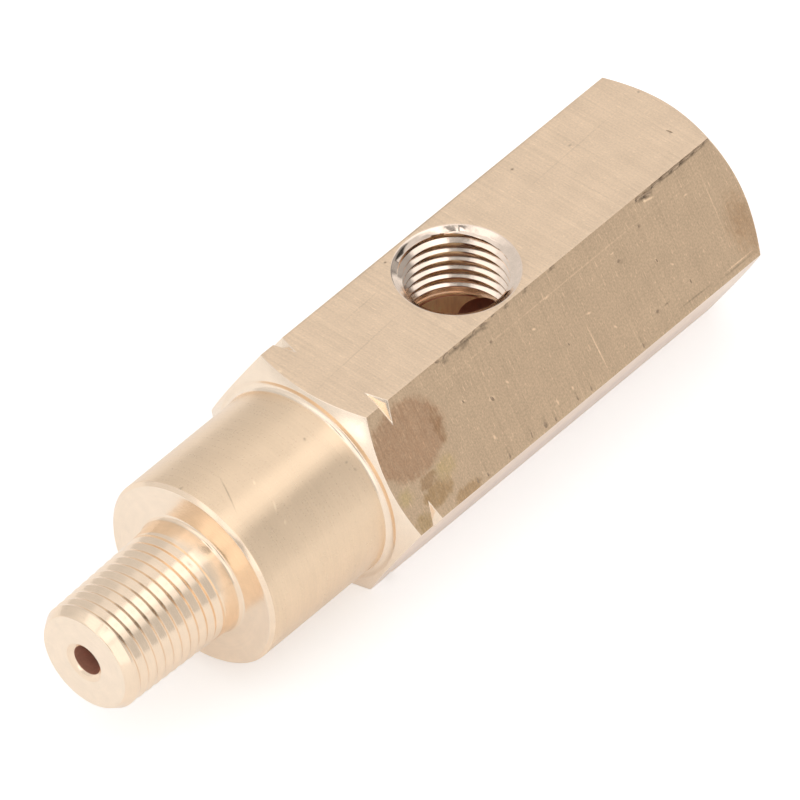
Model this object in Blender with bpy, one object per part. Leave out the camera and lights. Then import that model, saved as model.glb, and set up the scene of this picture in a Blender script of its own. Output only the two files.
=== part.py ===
"""A brass tee fitting turned from hexagon bar.

One end is a tapered male thread with a small hole through its tip. Behind it are a turned
collar and the hexagon body, which has one threaded port in its top flat and another in its
far end. A bore along the axis joins all three. Everything is one piece of metal.

Lengths are in metres. The axis of the fitting lies along X with the male tip towards -X, the
side port opens towards +Z, and the part rests on the flat opposite that port, at Z = 0.
Places along the axis are counted from the washer face, where the collar meets the hexagon.
"""

import math

import bmesh
import bpy
from mathutils import Matrix, Vector

MM = 0.001

# Hexagon body
ACROSS_FLATS = 20.0 * MM
HEX_LENGTH = 46.0 * MM
WASHER_FACE_INSET = 0.3 * MM
SHOULDER_CHAMFER_ANGLE = math.radians(30.0)
END_FACE_INSET = 0.4 * MM
END_CHAMFER_ANGLE = math.radians(35.0)

# V-groove turned round the hexagon, shallow enough to nick only its corners
GROOVE_PLACE = 3.2 * MM
GROOVE_WIDTH = 1.15 * MM
GROOVE_DEPTH = 0.88 * MM

# Collar between the hexagon and the male end, turned a step below the flats
COLLAR_STEP = 1.05 * MM
COLLAR_LENGTH = 14.5 * MM
COLLAR_FILLET = 0.55 * MM
COLLAR_RIM_CHAMFER = 0.35 * MM

# Male end and its tapered right-hand thread
MALE_LENGTH = 13.3 * MM
MALE_DIAMETER_AT_TIP = 10.0 * MM
MALE_TAPER = 1.0 / 16.0
THREAD_PITCH = 1.0 * MM
THREAD_DEPTH = 0.35 * MM
THREAD_RUN_IN = 0.4 * MM
THREAD_RUN_OUT = 1.2 * MM
NECK_LENGTH = 1.8 * MM
NECK_FILLET = 0.45 * MM
TIP_CHAMFER_DEPTH = 0.55 * MM
TIP_CHAMFER_LENGTH = 0.9 * MM
TIP_EDGE_RADIUS = 0.25 * MM

# Small hole through the male end
TIP_HOLE_DIAMETER = 2.8 * MM
TIP_COUNTERSINK_DIAMETER = 3.8 * MM
TIP_COUNTERSINK_DEPTH = 0.35 * MM

# Both female ports are drilled for the same 10 mm thread
TAP_DRILL_DIAMETER = 9.0 * MM
PORT_MOUTH_DIAMETER = 10.9 * MM
PORT_MOUTH_DEPTH = 0.95 * MM
DRILL_POINT_ANGLE = math.radians(118.0)
SIDE_PORT_PLACE = 19.15 * MM
SIDE_PORT_DEPTH = 10.0 * MM
END_PORT_DEPTH = 12.0 * MM

# Bore from the end port to a little past the side port
AXIAL_BORE_DIAMETER = 6.0 * MM
AXIAL_BORE_OVERRUN = 1.5 * MM

# How far a cutter or the bar stands clear of the metal that is left
CUTTER_OVERLAP = 1.0 * MM

TURNED_SEGMENTS = 84
DRILL_SEGMENTS = 64
ARC_STEPS = 5
SMOOTH_ANGLE = math.radians(25.0)
WELD_DISTANCE = 0.001 * MM

BRASS_COLOUR = (0.78, 0.6, 0.42, 1.0)
BRASS_ROUGHNESS = 0.32

# What follows from the sizes above
APOTHEM = ACROSS_FLATS / 2
CORNER_RADIUS = APOTHEM / math.cos(math.radians(30.0))
COLLAR_RADIUS = APOTHEM - COLLAR_STEP
MALE_RADIUS_AT_TIP = MALE_DIAMETER_AT_TIP / 2
THREAD_LENGTH = MALE_LENGTH - NECK_LENGTH
NECK_RADIUS = MALE_RADIUS_AT_TIP + THREAD_LENGTH * MALE_TAPER / 2
WASHER_FACE_RADIUS = max(APOTHEM - WASHER_FACE_INSET, COLLAR_RADIUS + COLLAR_FILLET)
END_FACE_RADIUS = APOTHEM - END_FACE_INSET
COLLAR_FACE = -COLLAR_LENGTH
TIP = COLLAR_FACE - MALE_LENGTH
# The origin lies under the middle of the whole length
MIDDLE = (TIP + HEX_LENGTH) / 2


def clear_scene():
    for thing in list(bpy.data.objects):
        bpy.data.objects.remove(thing, do_unlink=True)


def brass_material():
    material = bpy.data.materials.new("brass")
    material.use_nodes = True
    shader = material.node_tree.nodes["Principled BSDF"]
    shader.inputs["Base Color"].default_value = BRASS_COLOUR
    shader.inputs["Metallic"].default_value = 1.0
    shader.inputs["Roughness"].default_value = BRASS_ROUGHNESS
    return material


def arc(centre, radius, start_degrees, end_degrees):
    """Points of an arc as (place along the axis, radius), both ends included."""
    points = []
    for step in range(ARC_STEPS + 1):
        angle = math.radians(start_degrees + (end_degrees - start_degrees) * step / ARC_STEPS)
        points.append((centre[0] + radius * math.cos(angle), centre[1] + radius * math.sin(angle)))
    return points


def finish_mesh(builder, name):
    bmesh.ops.remove_doubles(builder, verts=builder.verts, dist=WELD_DISTANCE)
    bmesh.ops.dissolve_degenerate(builder, edges=builder.edges, dist=WELD_DISTANCE)
    bmesh.ops.recalc_face_normals(builder, faces=builder.faces)
    mesh = bpy.data.meshes.new(name)
    builder.to_mesh(mesh)
    builder.free()
    mesh.shade_smooth()
    mesh.set_sharp_from_angle(angle=SMOOTH_ANGLE)
    return mesh


def add_object(name, mesh):
    thing = bpy.data.objects.new(name, mesh)
    bpy.context.scene.collection.objects.link(thing)
    return thing


def turned_shape(name, outline_at, segments):
    """
    A solid turned about X from its outline, whose points are (place along the axis, radius).

    The outline is a closed loop or starts and ends on the axis. It is asked for at each share
    of the turn, because a thread moves along as it goes round, and after the whole turn it
    falls on the first one again.
    """
    builder = bmesh.new()
    columns = []
    for step in range(segments + 1):
        turn = step / segments
        around = Matrix.Rotation(math.tau * turn, 3, "X")
        outline = [around @ Vector((place, 0.0, radius)) for place, radius in outline_at(turn)]
        columns.append([builder.verts.new(point) for point in outline])
    for column, following in zip(columns, columns[1:]):
        for corners in zip(column, column[1:], following[1:], following):
            builder.faces.new(corners)
    return add_object(name, finish_mesh(builder, name))


def hexagon_bar(name, start, end):
    """A hexagon bar along X with flats at its top and bottom."""
    builder = bmesh.new()
    corners = []
    for side in range(6):
        angle = math.radians(60.0 * side)
        corners.append((start, CORNER_RADIUS * math.cos(angle), CORNER_RADIUS * math.sin(angle)))
    face = builder.faces.new([builder.verts.new(corner) for corner in corners])
    extruded = bmesh.ops.extrude_face_region(builder, geom=[face])
    moved = [item for item in extruded["geom"] if isinstance(item, bmesh.types.BMVert)]
    bmesh.ops.translate(builder, vec=Vector((end - start, 0.0, 0.0)), verts=moved)
    bmesh.ops.recalc_face_normals(builder, faces=builder.faces)
    mesh = bpy.data.meshes.new(name)
    builder.to_mesh(mesh)
    builder.free()
    return add_object(name, mesh)


def hide_helper(helper):
    helper.hide_render = True
    helper.display_type = "WIRE"


def combine(target, helper, operation):
    """Cuts the target with the helper, then merges the corners that the cut leaves doubled."""
    hide_helper(helper)
    cut = target.modifiers.new(f"{operation.lower()} {helper.name}", "BOOLEAN")
    cut.operation = operation
    cut.solver = "EXACT"
    cut.object = helper
    weld = target.modifiers.new(f"weld after {helper.name}", "WELD")
    weld.merge_threshold = WELD_DISTANCE


def thread_outline(start, end, turn):
    """
    Crests and roots of the male thread along the line that lies at a share of the turn.

    The thread has moved along by the same share of its pitch. Corners past either end are
    drawn back to it, where the thread has run out, so that each line has as many corners.
    """
    halves = 2 * math.ceil((end - start) / THREAD_PITCH)
    outline = []
    for half in range(-2, halves + 1):
        place = start + (turn + half / 2) * THREAD_PITCH
        place = min(max(place, start), end)
        radius = MALE_RADIUS_AT_TIP + (place - TIP) * MALE_TAPER / 2
        if half % 2:
            cut_in = min((place - start) / THREAD_RUN_IN, 1.0)
            cut_out = min((end - place) / THREAD_RUN_OUT, 1.0)
            radius -= THREAD_DEPTH * min(cut_in, cut_out)
        outline.append((place, radius))
    return outline


def male_outline(turn):
    """Outside of the male end, from its tip to the collar face, at a share of the turn."""
    outline = arc(
        (TIP + TIP_EDGE_RADIUS, MALE_RADIUS_AT_TIP - TIP_CHAMFER_DEPTH - TIP_EDGE_RADIUS),
        TIP_EDGE_RADIUS,
        180.0,
        120.0,
    )
    outline += thread_outline(TIP + TIP_CHAMFER_LENGTH, TIP + THREAD_LENGTH, turn)
    outline += arc((COLLAR_FACE - NECK_FILLET, NECK_RADIUS + NECK_FILLET), NECK_FILLET, -90.0, 0.0)
    return outline


def collar_outline():
    """Outside of the collar, from its front face to the washer face."""
    outline = [
        (COLLAR_FACE, COLLAR_RADIUS - COLLAR_RIM_CHAMFER),
        (COLLAR_FACE + COLLAR_RIM_CHAMFER, COLLAR_RADIUS),
    ]
    centre = (-COLLAR_FILLET, COLLAR_RADIUS + COLLAR_FILLET)
    return outline + arc(centre, COLLAR_FILLET, -90.0, 0.0)


def hexagon_outline():
    """What the lathe cuts on the hexagon: washer face, groove and both chamfers."""
    clear_radius = CORNER_RADIUS + CUTTER_OVERLAP
    shoulder_rise = math.tan(SHOULDER_CHAMFER_ANGLE)
    end_rise = math.tan(END_CHAMFER_ANGLE)
    groove_slope = (GROOVE_WIDTH / 2) / GROOVE_DEPTH
    groove_reach = groove_slope * (GROOVE_DEPTH + CUTTER_OVERLAP)
    return [
        (0.0, WASHER_FACE_RADIUS),
        ((clear_radius - WASHER_FACE_RADIUS) * shoulder_rise, clear_radius),
        (GROOVE_PLACE - groove_reach, clear_radius),
        (GROOVE_PLACE, CORNER_RADIUS - GROOVE_DEPTH),
        (GROOVE_PLACE + groove_reach, clear_radius),
        (HEX_LENGTH - (clear_radius - END_FACE_RADIUS) * end_rise, clear_radius),
        (HEX_LENGTH, END_FACE_RADIUS),
    ]


def drill_point_length(from_diameter, to_diameter=0.0):
    return (from_diameter - to_diameter) / 2 / math.tan(DRILL_POINT_ANGLE / 2)


def bore_outline():
    """Everything drilled along the axis, from the mouth of the end port to the tip."""
    port_bottom = HEX_LENGTH - END_PORT_DEPTH
    point = drill_point_length(TAP_DRILL_DIAMETER, AXIAL_BORE_DIAMETER)
    bore_bottom = SIDE_PORT_PLACE - AXIAL_BORE_OVERRUN
    bore_point = drill_point_length(AXIAL_BORE_DIAMETER, TIP_HOLE_DIAMETER)
    return [
        (HEX_LENGTH, PORT_MOUTH_DIAMETER / 2),
        (HEX_LENGTH - PORT_MOUTH_DEPTH, TAP_DRILL_DIAMETER / 2),
        (port_bottom, TAP_DRILL_DIAMETER / 2),
        (port_bottom - point, AXIAL_BORE_DIAMETER / 2),
        (bore_bottom, AXIAL_BORE_DIAMETER / 2),
        (bore_bottom - bore_point, TIP_HOLE_DIAMETER / 2),
        (TIP + TIP_COUNTERSINK_DEPTH, TIP_HOLE_DIAMETER / 2),
        (TIP, TIP_COUNTERSINK_DIAMETER / 2),
    ]


def lathe_outline(turn):
    """The closed outline of all that the lathe cuts, at a share of the turn."""
    outline = male_outline(turn) + collar_outline() + hexagon_outline() + bore_outline()
    return outline + outline[:1]


def lathe_work():
    """The whole fitting as the lathe leaves it, if the bar were round."""
    return turned_shape("lathe_work", lathe_outline, TURNED_SEGMENTS)


def side_drill():
    """The side port's drill and countersink, which reach from the top flat to the axis."""
    countersink_slope = (PORT_MOUTH_DIAMETER - TAP_DRILL_DIAMETER) / 2 / PORT_MOUTH_DEPTH
    start = APOTHEM + CUTTER_OVERLAP
    bottom = APOTHEM - SIDE_PORT_DEPTH
    outline = [
        (start, 0.0),
        (start, PORT_MOUTH_DIAMETER / 2 + CUTTER_OVERLAP * countersink_slope),
        (APOTHEM - PORT_MOUTH_DEPTH, TAP_DRILL_DIAMETER / 2),
        (bottom, TAP_DRILL_DIAMETER / 2),
        (bottom - drill_point_length(TAP_DRILL_DIAMETER), 0.0),
    ]
    drill = turned_shape("side_drill", lambda turn: outline, DRILL_SEGMENTS)
    # Half a step of turn keeps its corners off the plane through both ports
    half_step = Matrix.Rotation(math.pi / DRILL_SEGMENTS, 4, "X")
    upright = Matrix.Rotation(math.radians(-90.0), 4, "Y")
    place = Matrix.Translation((SIDE_PORT_PLACE, 0.0, 0.0))
    drill.data.transform(place @ upright @ half_step)
    return drill


def tee_body():
    """The fitting: hexagon bar that has been turned, bored and drilled from the side."""
    body = hexagon_bar("tee_body", TIP - CUTTER_OVERLAP, HEX_LENGTH + CUTTER_OVERLAP)
    combine(body, lathe_work(), "INTERSECT")
    combine(body, side_drill(), "DIFFERENCE")
    body.data.materials.append(brass_material())
    return body


def place_on_ground():
    """Moves the origin under the middle of the part, with its bottom flat at Z = 0."""
    shift = Matrix.Translation((-MIDDLE, 0.0, APOTHEM))
    for thing in bpy.data.objects:
        thing.data.transform(shift)


clear_scene()
tee_body()
place_on_ground()
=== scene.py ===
import functools
import math

import bmesh
import bpy
from mathutils import Matrix, Vector

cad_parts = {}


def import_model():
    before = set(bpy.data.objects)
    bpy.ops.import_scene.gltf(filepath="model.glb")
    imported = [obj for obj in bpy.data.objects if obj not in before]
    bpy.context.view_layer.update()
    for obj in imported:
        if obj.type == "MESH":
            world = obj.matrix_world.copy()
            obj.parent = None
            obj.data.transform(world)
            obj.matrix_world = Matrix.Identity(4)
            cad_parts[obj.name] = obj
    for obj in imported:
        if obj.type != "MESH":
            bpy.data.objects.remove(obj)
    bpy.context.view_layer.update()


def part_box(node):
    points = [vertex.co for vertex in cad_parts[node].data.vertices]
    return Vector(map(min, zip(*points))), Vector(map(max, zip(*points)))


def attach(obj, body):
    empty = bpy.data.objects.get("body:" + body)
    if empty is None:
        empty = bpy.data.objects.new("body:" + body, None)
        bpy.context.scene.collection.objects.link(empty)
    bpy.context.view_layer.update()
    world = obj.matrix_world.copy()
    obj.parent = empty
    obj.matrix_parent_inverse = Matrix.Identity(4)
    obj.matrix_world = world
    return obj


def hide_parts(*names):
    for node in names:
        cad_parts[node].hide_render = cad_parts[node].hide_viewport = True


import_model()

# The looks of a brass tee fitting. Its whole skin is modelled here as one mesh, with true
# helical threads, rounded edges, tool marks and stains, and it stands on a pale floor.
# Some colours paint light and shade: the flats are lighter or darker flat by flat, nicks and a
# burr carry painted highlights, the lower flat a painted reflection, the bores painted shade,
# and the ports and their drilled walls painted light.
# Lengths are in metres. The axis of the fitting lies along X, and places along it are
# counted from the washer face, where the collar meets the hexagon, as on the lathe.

MM = 0.001

# Hexagon
ACROSS_FLATS = 20.0 * MM
HEX_LENGTH = 46.0 * MM
HEX_EDGE_ROUND = 0.06 * MM
WASHER_FACE_RADIUS = 9.7 * MM
SHOULDER_CHAMFER_ANGLE = math.radians(30.0)
END_FACE_RADIUS = 9.6 * MM
END_CHAMFER_ANGLE = math.radians(35.0)
TURNED_EDGE_ROUND = 0.1 * MM

# V-groove that nicks the corners of the hexagon
GROOVE_PLACE = 3.2 * MM
GROOVE_WIDTH = 1.15 * MM
GROOVE_DEPTH = 0.88 * MM
GROOVE_ROUND = 0.06 * MM

# Collar
COLLAR_RADIUS = 8.95 * MM
COLLAR_LENGTH = 14.5 * MM
COLLAR_FILLET = 0.55 * MM
COLLAR_RIM = 0.35 * MM

# Male end
MALE_LENGTH = 13.3 * MM
MALE_RADIUS_AT_TIP = 5.0 * MM
MALE_TAPER = 1.0 / 16.0
NECK_FILLET = 0.45 * MM
NECK_SLOPE = math.radians(5.0)
TIP_FACE_RADIUS = 4.3 * MM
TIP_EDGE_ROUND = 0.3 * MM
TIP_EDGE_ARC = (180.0, 120.0)
TIP_CHAMFER_LENGTH = 0.9 * MM

# Threads. A profile gives rows of the skin as shares of the pitch from the crest, and how deep
# the thread is there, from 0 on the crest to 1 in the root
THREAD_PITCH = 1.0 * MM
THREAD_DEPTH = 0.16 * MM
MALE_PROFILE = (
    (-0.5, 0.86), (-0.4, 0.68), (-0.3, 0.505), (-0.2, 0.325), (-0.1, 0.15), (-0.05, 0.06),
    (0.0, 0.0), (0.06, 0.08), (0.12, 0.27), (0.2, 0.56), (0.28, 0.84), (0.34, 0.98),
    (0.38, 1.0), (0.41, 0.985), (0.45, 0.94),
)
PORT_PROFILE = (
    (-0.5, 1.0), (-0.455, 1.0), (-0.415, 0.86), (-0.235, 0.14), (-0.195, 0.0), (-0.15, 0.0),
    (0.15, 0.0), (0.195, 0.0), (0.235, 0.14), (0.415, 0.86), (0.455, 1.0),
)
MALE_THREAD_START = 0.95 * MM
MALE_THREAD_END = 11.6 * MM
MALE_THREAD_RUN_IN = 0.35 * MM
MALE_THREAD_RUN_OUT = 1.1 * MM
MALE_THREAD_SHIFT = 0.38 * MM

# Ports and bores
PORT_DRILL_RADIUS = 4.53 * MM
PORT_ROOT_RADIUS = 4.95 * MM
PORT_MOUTH_RADIUS = 5.48 * MM
PORT_MOUTH_DEPTH = 0.32 * MM
PORT_MOUTH_BREAK_RADIUS = 5.4 * MM
PORT_MOUTH_BREAK_DEPTH = 0.03 * MM
PORT_THREAD_RUN_IN = 0.15 * MM
PORT_THREAD_RUN_OUT = 1.2 * MM
DRILL_POINT_ANGLE = math.radians(118.0)
SIDE_PORT_PLACE = 19.15 * MM
SIDE_PORT_DEPTH = 10.0 * MM
SIDE_THREAD_LENGTH = 7.4 * MM
SIDE_THREAD_SHIFT = 0.98 * MM
END_PORT_DEPTH = 12.0 * MM
END_THREAD_LENGTH = 9.5 * MM
END_THREAD_SHIFT = 0.3 * MM
AXIAL_BORE_RADIUS = 3.0 * MM
AXIAL_BORE_OVERRUN = 1.5 * MM
TIP_HOLE_RADIUS = 1.4 * MM
TIP_COUNTERSINK_RADIUS = 1.9 * MM
TIP_COUNTERSINK_DEPTH = 0.35 * MM

# How finely the skin is divided
FLAT_STEPS = 22
EDGE_STEPS = 4
PORT_COLUMNS = 96
CORNER_STEPS = 4
ARC_STEPS = 6
FLAT_ROWS = 48
# Turns laid out beyond each end of a thread, because shift and share move it along
SPARE_TURNS = 2
# Rows of the collar, as shares of its length
COLLAR_ROWS = (0.1, 0.35, 0.65, 0.9)
# The most that a rounded corner takes up of the lines beside it, and the shortest such line
CORNER_SHARE = 0.45
SHORTEST_LINE = 1e-9
# How far the hollows reach out of the body that they are cut from, and how much they widen there
CUTTER_OVERLAP = 1.0 * MM
CUTTER_FLARE = 5.0 * MM
WELD_DISTANCE = 0.001 * MM
SHARP_ANGLE = math.radians(40.0)

# What follows from the sizes above
APOTHEM = ACROSS_FLATS / 2
SIDES = 6
SIDE_DEGREES = 60.0
SIDE_ANGLE = math.radians(SIDE_DEGREES)
CORNER_RADIUS = APOTHEM / math.cos(SIDE_ANGLE / 2)
COLLAR_FACE = -COLLAR_LENGTH
TIP = COLLAR_FACE - MALE_LENGTH
# How far the row frame is shifted from places along the axis
ORIGIN_SHIFT = Vector((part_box("tee_body")[0].x - TIP, 0.0, APOTHEM))


def rounded(before, corner, after, radius):
    """Points of the curve that rounds a corner of an outline, kept short beside short lines."""
    corner = Vector(corner)
    back = Vector(before) - corner
    ahead = Vector(after) - corner
    shortest = min(back.length, ahead.length)
    if shortest < SHORTEST_LINE:
        return [tuple(corner)] * (CORNER_STEPS + 1)
    turn = math.pi - back.angle(ahead)
    leg = min(radius * math.tan(turn / 2), shortest * CORNER_SHARE)
    start = corner + back.normalized() * leg
    end = corner + ahead.normalized() * leg
    points = []
    for step in range(CORNER_STEPS + 1):
        share = step / CORNER_STEPS
        first = start.lerp(corner, share)
        second = corner.lerp(end, share)
        points.append(tuple(first.lerp(second, share)))
    return points


def arc(centre, radius, start_degrees, end_degrees):
    """Points of a circle's arc in an outline, with its angles counted from +X."""
    points = []
    for step in range(ARC_STEPS + 1):
        angle = math.radians(start_degrees + (end_degrees - start_degrees) * step / ARC_STEPS)
        points.append((centre[0] + radius * math.cos(angle), centre[1] + radius * math.sin(angle)))
    return points


def smooth(share):
    """Eases a share that runs from 0 to 1, and holds it at its ends beyond them."""
    share = min(max(share, 0.0), 1.0)
    return share * share * (3.0 - 2.0 * share)


def depth_share(phase, profile):
    """How deep a thread is at a share of its pitch, from 0 on the crest to 1 in the root."""
    phase = (phase + 0.5) % 1.0 - 0.5
    rows = profile + ((0.5, profile[0][1]),)
    for (low, first), (high, second) in zip(rows, rows[1:]):
        if phase <= high:
            return first + (second - first) * (phase - low) / (high - low)


def thread_points(start, end, shift, share, profile, radius_at, depth_at):
    """
    Outline of a right-hand thread along one column of the skin.

    share says how far round the column lies, from 0 to 1, and moves the thread by as much of
    its pitch. Points past the start or the end are drawn back to it, so that each column has
    as many points and the last column closes on the first.
    """
    turns = math.ceil((end - start) / THREAD_PITCH) + SPARE_TURNS
    points = []
    for turn in range(-SPARE_TURNS, turns):
        for phase, _ in profile:
            place = start + shift + (turn + phase + share) * THREAD_PITCH
            place = min(max(place, start), end)
            here = (place - start - shift) / THREAD_PITCH - share
            depth = depth_at(place) * depth_share(here, profile)
            points.append((place, radius_at(place) - depth))
    return points


def side_angle(side):
    """The way a flat faces, from straight up towards -Y. The bottom flat counts as 0."""
    return math.radians(180.0 + SIDE_DEGREES * side)


def facing(angle):
    """The direction at that angle from straight up towards -Y, in Y and Z."""
    return Vector((-math.sin(angle), math.cos(angle)))


def crossing(angle):
    """The direction across a flat that faces that way, in Y and Z."""
    return Vector((-math.cos(angle), -math.sin(angle)))


def hexagon_columns():
    """
    Corners of the bar's cross-section with its edges rounded, as vectors in Y and Z.

    They start where the bottom flat does, on its -Y side, and go from +Z towards -Y, which is
    the way round in which a right-hand thread climbs towards +X.
    """
    flat_half = (APOTHEM - HEX_EDGE_ROUND) * math.tan(SIDE_ANGLE / 2)
    edge_centre = (APOTHEM - HEX_EDGE_ROUND) / math.cos(SIDE_ANGLE / 2)
    columns = []
    for side in range(SIDES):
        angle = side_angle(side)
        out = facing(angle)
        across = crossing(angle)
        for step in range(FLAT_STEPS + 1):
            columns.append(out * APOTHEM + across * flat_half * (2.0 * step / FLAT_STEPS - 1.0))
        edge = facing(angle + SIDE_ANGLE / 2) * edge_centre
        for step in range(1, EDGE_STEPS):
            turned = angle + SIDE_ANGLE * step / EDGE_STEPS
            columns.append(edge + facing(turned) * HEX_EDGE_ROUND)
    columns.append(columns[0].copy())
    return columns


def share_round(column, first):
    """How far round a column lies from the first one, from 0 to 1."""
    angle = math.atan2(-column.x, column.y) - math.atan2(-first.x, first.y)
    return (angle / math.tau) % 1.0


def male_thread_depth(place):
    from_tip = place - TIP
    run_in = smooth((from_tip - MALE_THREAD_START) / MALE_THREAD_RUN_IN)
    run_out = smooth((MALE_THREAD_END - from_tip) / MALE_THREAD_RUN_OUT)
    return THREAD_DEPTH * run_in * run_out


def male_radius(place):
    return MALE_RADIUS_AT_TIP + (place - TIP) * MALE_TAPER / 2


def male_outline(share):
    """The male end from the middle of its tip to the collar face."""
    chamfer_end = (TIP + TIP_CHAMFER_LENGTH, male_radius(TIP + TIP_CHAMFER_LENGTH))
    tip_edge = arc((TIP + TIP_EDGE_ROUND, TIP_FACE_RADIUS), TIP_EDGE_ROUND, *TIP_EDGE_ARC)
    thread_start = TIP + MALE_THREAD_START
    thread_end = TIP + MALE_THREAD_END
    fillet_place = COLLAR_FACE - NECK_FILLET
    after_chamfer = (thread_start, male_radius(thread_start))
    points = [(TIP, 0.0), (TIP, TIP_FACE_RADIUS / 2)]
    points += tip_edge
    points += rounded(tip_edge[-1], chamfer_end, after_chamfer, TURNED_EDGE_ROUND)
    points += thread_points(
        thread_start,
        thread_end,
        MALE_THREAD_SHIFT,
        share,
        MALE_PROFILE,
        male_radius,
        male_thread_depth,
    )
    neck_rise = (fillet_place - thread_end) * math.tan(NECK_SLOPE)
    fillet_radius = male_radius(thread_end) + neck_rise + NECK_FILLET / math.cos(NECK_SLOPE)
    fillet_start = math.degrees(NECK_SLOPE) - 90.0
    points += arc((fillet_place, fillet_radius), NECK_FILLET, fillet_start, 0.0)
    return points


def collar_outline():
    """The collar from its front face to the washer face."""
    face_edge = (COLLAR_FACE, COLLAR_RADIUS - COLLAR_RIM)
    side_edge = (COLLAR_FACE + COLLAR_RIM, COLLAR_RADIUS)
    fillet_start = (-COLLAR_FILLET, COLLAR_RADIUS)
    inner_face = (COLLAR_FACE, COLLAR_RADIUS - 2 * COLLAR_RIM)
    points = [inner_face]
    points += rounded(inner_face, face_edge, side_edge, TURNED_EDGE_ROUND)
    points += rounded(face_edge, side_edge, fillet_start, TURNED_EDGE_ROUND)
    for share in COLLAR_ROWS:
        points.append(tuple(Vector(side_edge).lerp(Vector(fillet_start), share)))
    fillet_centre = (-COLLAR_FILLET, COLLAR_RADIUS + COLLAR_FILLET)
    return points + arc(fillet_centre, COLLAR_FILLET, -90.0, 0.0)


def groove_points(bar_radius):
    """The groove along a column where the bar has that radius. On the flats it vanishes."""
    bottom = CORNER_RADIUS - GROOVE_DEPTH
    depth = max(bar_radius - bottom, 0.0)
    half = depth * GROOVE_WIDTH / 2 / GROOVE_DEPTH
    entry = (GROOVE_PLACE - half, bar_radius)
    middle = (GROOVE_PLACE, bar_radius - depth)
    leave = (GROOVE_PLACE + half, bar_radius)
    points = rounded((GROOVE_PLACE - GROOVE_WIDTH, bar_radius), entry, middle, GROOVE_ROUND)
    points += rounded(entry, middle, leave, GROOVE_ROUND)
    points += rounded(middle, leave, (GROOVE_PLACE + GROOVE_WIDTH, bar_radius), GROOVE_ROUND)
    return points


def hexagon_outline(bar_radius):
    """The hexagon from the washer face to the middle of the end face, along one column."""
    washer_edge = (0.0, WASHER_FACE_RADIUS)
    shoulder_rise = math.tan(SHOULDER_CHAMFER_ANGLE)
    shoulder = ((bar_radius - WASHER_FACE_RADIUS) * shoulder_rise, bar_radius)
    before_groove = (GROOVE_PLACE - GROOVE_WIDTH, bar_radius)
    after_groove = (GROOVE_PLACE + GROOVE_WIDTH, bar_radius)
    end_rise = math.tan(END_CHAMFER_ANGLE)
    chamfer = (HEX_LENGTH - (bar_radius - END_FACE_RADIUS) * end_rise, bar_radius)
    end_edge = (HEX_LENGTH, END_FACE_RADIUS)
    points = rounded((0.0, COLLAR_RADIUS), washer_edge, shoulder, TURNED_EDGE_ROUND / 2)
    points += rounded(washer_edge, shoulder, before_groove, TURNED_EDGE_ROUND)
    points += [before_groove] + groove_points(bar_radius) + [after_groove]
    for row in range(1, FLAT_ROWS):
        points.append(tuple(Vector(after_groove).lerp(Vector(chamfer), row / FLAT_ROWS)))
    points += rounded(after_groove, chamfer, end_edge, TURNED_EDGE_ROUND)
    points += rounded(chamfer, end_edge, (HEX_LENGTH, 0.0), TURNED_EDGE_ROUND)
    points += [(HEX_LENGTH, END_FACE_RADIUS / 2), (HEX_LENGTH, 0.0)]
    return points


def weld(builder):
    """Merges doubled corners and clears away what has no length or area."""
    bmesh.ops.remove_doubles(builder, verts=builder.verts, dist=WELD_DISTANCE)
    bmesh.ops.dissolve_degenerate(builder, edges=builder.edges, dist=WELD_DISTANCE)


def mesh_from(builder, name):
    mesh = bpy.data.meshes.new(name)
    builder.to_mesh(mesh)
    builder.free()
    return mesh


def skin_mesh(name, columns, outlines):
    """A closed skin over a grid: one outline of (place, radius) for each column round X."""
    builder = bmesh.new()
    grid = []
    for column, outline in zip(columns, outlines):
        out = column.normalized()
        corners = []
        for place, radius in outline:
            corners.append(builder.verts.new((place, out.x * radius, out.y * radius)))
        grid.append(corners)
    for left, right in zip(grid, grid[1:]):
        for step in range(len(left) - 1):
            builder.faces.new((left[step], right[step], right[step + 1], left[step + 1]))
    weld(builder)
    bmesh.ops.recalc_face_normals(builder, faces=builder.faces)
    return mesh_from(builder, name)


def add_object(name, data):
    thing = bpy.data.objects.new(name, data)
    bpy.context.scene.collection.objects.link(thing)
    return thing


def outside_skin():
    """The outside of the whole fitting, as if nothing had been drilled."""
    columns = hexagon_columns()
    outlines = []
    for index, column in enumerate(columns):
        share = 1.0 if index == len(columns) - 1 else share_round(column, columns[0])
        outlines.append(male_outline(share) + collar_outline() + hexagon_outline(column.length))
    return skin_mesh("outside", columns, outlines)


def drill_point_length(from_radius, to_radius=0.0):
    return (from_radius - to_radius) / math.tan(DRILL_POINT_ANGLE / 2)


def port_outline(face, thread_length, shift, share):
    """A threaded port from its thread's inner end out through its mouth, opening towards +X."""
    start = face - thread_length
    end = face - PORT_MOUTH_DEPTH

    def groove_depth(place):
        run_out = smooth((place - start) / PORT_THREAD_RUN_OUT)
        return (PORT_ROOT_RADIUS - PORT_DRILL_RADIUS) * run_out

    def root_radius(place):
        return PORT_DRILL_RADIUS + groove_depth(place)

    def depth_at(place):
        return groove_depth(place) * smooth((end - place) / PORT_THREAD_RUN_IN)

    rim = (face, PORT_MOUTH_RADIUS)
    mouth_break = (face - PORT_MOUTH_BREAK_DEPTH, PORT_MOUTH_BREAK_RADIUS)
    points = thread_points(start, end, shift, share, PORT_PROFILE, root_radius, depth_at)
    points += rounded((end, PORT_ROOT_RADIUS), mouth_break, rim, TURNED_EDGE_ROUND)
    points.append(rim)
    points.append((face + CUTTER_OVERLAP, PORT_MOUTH_RADIUS + CUTTER_FLARE))
    points.append((face + CUTTER_OVERLAP, 0.0))
    return points


def port_columns():
    columns = []
    for step in range(PORT_COLUMNS + 1):
        angle = math.tau * (step % PORT_COLUMNS + 0.5) / PORT_COLUMNS
        columns.append(facing(angle))
    return columns


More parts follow.
